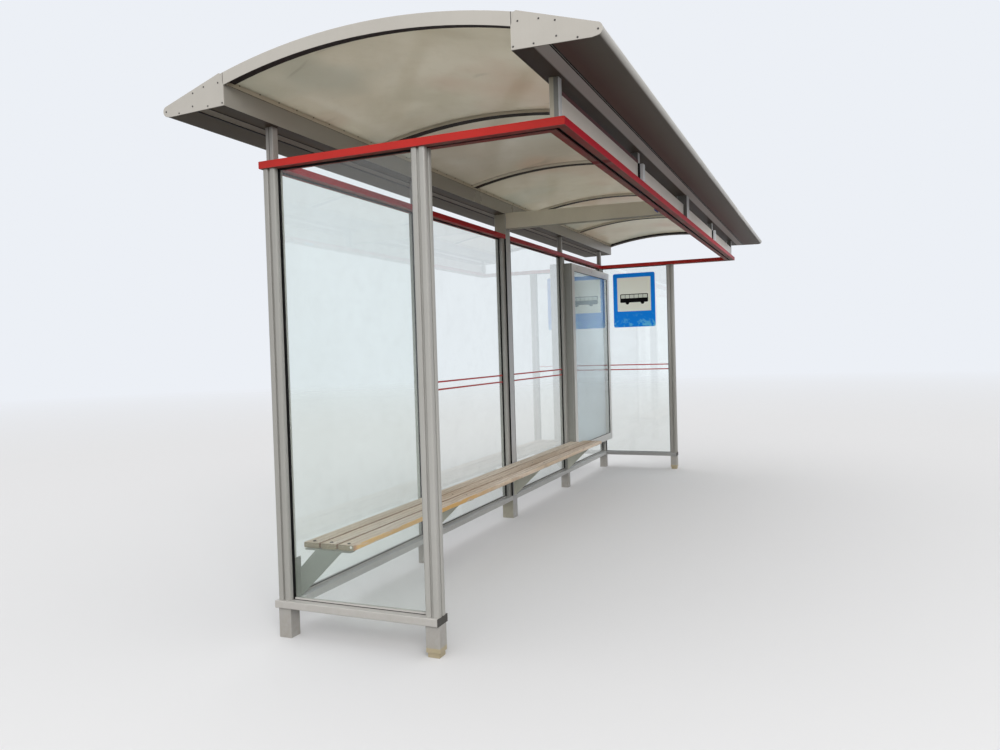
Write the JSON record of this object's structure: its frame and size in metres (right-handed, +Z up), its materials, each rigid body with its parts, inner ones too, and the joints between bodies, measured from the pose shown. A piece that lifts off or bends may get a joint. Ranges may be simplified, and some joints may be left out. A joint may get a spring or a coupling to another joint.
{
  "type": "bus shelter",
  "caption": "Street shelter with a glazed rear wall, end panes, slatted bench, poster case and an arched translucent roof between wedge-shaped eaves beams",
  "frame": {"origin": "On the floor, under the middle of the roof", "axes": "+X along the shelter towards the poster case, +Y towards the glazed rear wall, +Z up"},
  "size_m": [6.8, 2.1644, 2.8419],
  "materials": {
    "post_paint": "satin grey extrusion",
    "rail_paint": "satin light grey extrusion",
    "ring_red": "gloss red paint, dulled",
    "roof_metal": "satin light grey",
    "roof_sheet": "opal sheet, translucent",
    "glass": "clear toughened glass",
    "rubber": "black rubber",
    "bench_wood": "weathered softwood",
    "bracket_paint": "satin light grey",
    "case_paint": "satin grey",
    "case_board": "pale bluish white board",
    "panel_white": "semi-gloss white",
    "sign_blue": "semi-gloss blue",
    "cap_dark": "dark grey cap"
  },
  "bodies": {
    "root": {"base_rail_caps": "cap_dark", "base_rail_far": "rail_paint", "base_rail_near": "rail_paint", "base_rail_rear": "rail_paint", "bench_brackets": "bracket_paint", "bench_slat_front": "bench_wood", "bench_slat_middle": "bench_wood", "bench_slat_rear": "bench_wood", "centre_column": "post_paint", "centre_hanger": "post_paint", "centre_jambs": "post_paint", "cross_beam": "post_paint", "eaves_end_plates_far": "roof_metal", "eaves_end_plates_near": "roof_metal", "front_eaves_beam": "roof_metal", "front_feet": "rail_paint", "front_hangers": "post_paint", "front_post_far": "post_paint", "front_post_near": "post_paint", "gable_trim_far": "roof_metal", "gable_trim_near": "roof_metal", "glazing_channels": "rubber", "name_band": "panel_white", "poster_case_backing": "case_board", "poster_case_body": "case_paint", "poster_case_door": "case_paint", "poster_case_glass": "glass", "rear_eaves_beam": "roof_metal", "rear_feet": "rail_paint", "rear_glass": "glass", "rear_post_1": "post_paint", "rear_post_2": "post_paint", "rear_post_4": "post_paint", "rear_post_5": "post_paint", "rear_upper_posts": "post_paint", "ring_far": "ring_red", "ring_front": "ring_red", "ring_near": "ring_red", "ring_rear": "ring_red", "roof_cap_bars": "roof_metal", "roof_ribs": "roof_metal", "roof_seals": "rubber", "roof_sheets": "roof_sheet", "side_glass_far": "glass", "side_glass_near": "glass", "sign_plate": "sign_blue"}
  },
  "joints": []
}
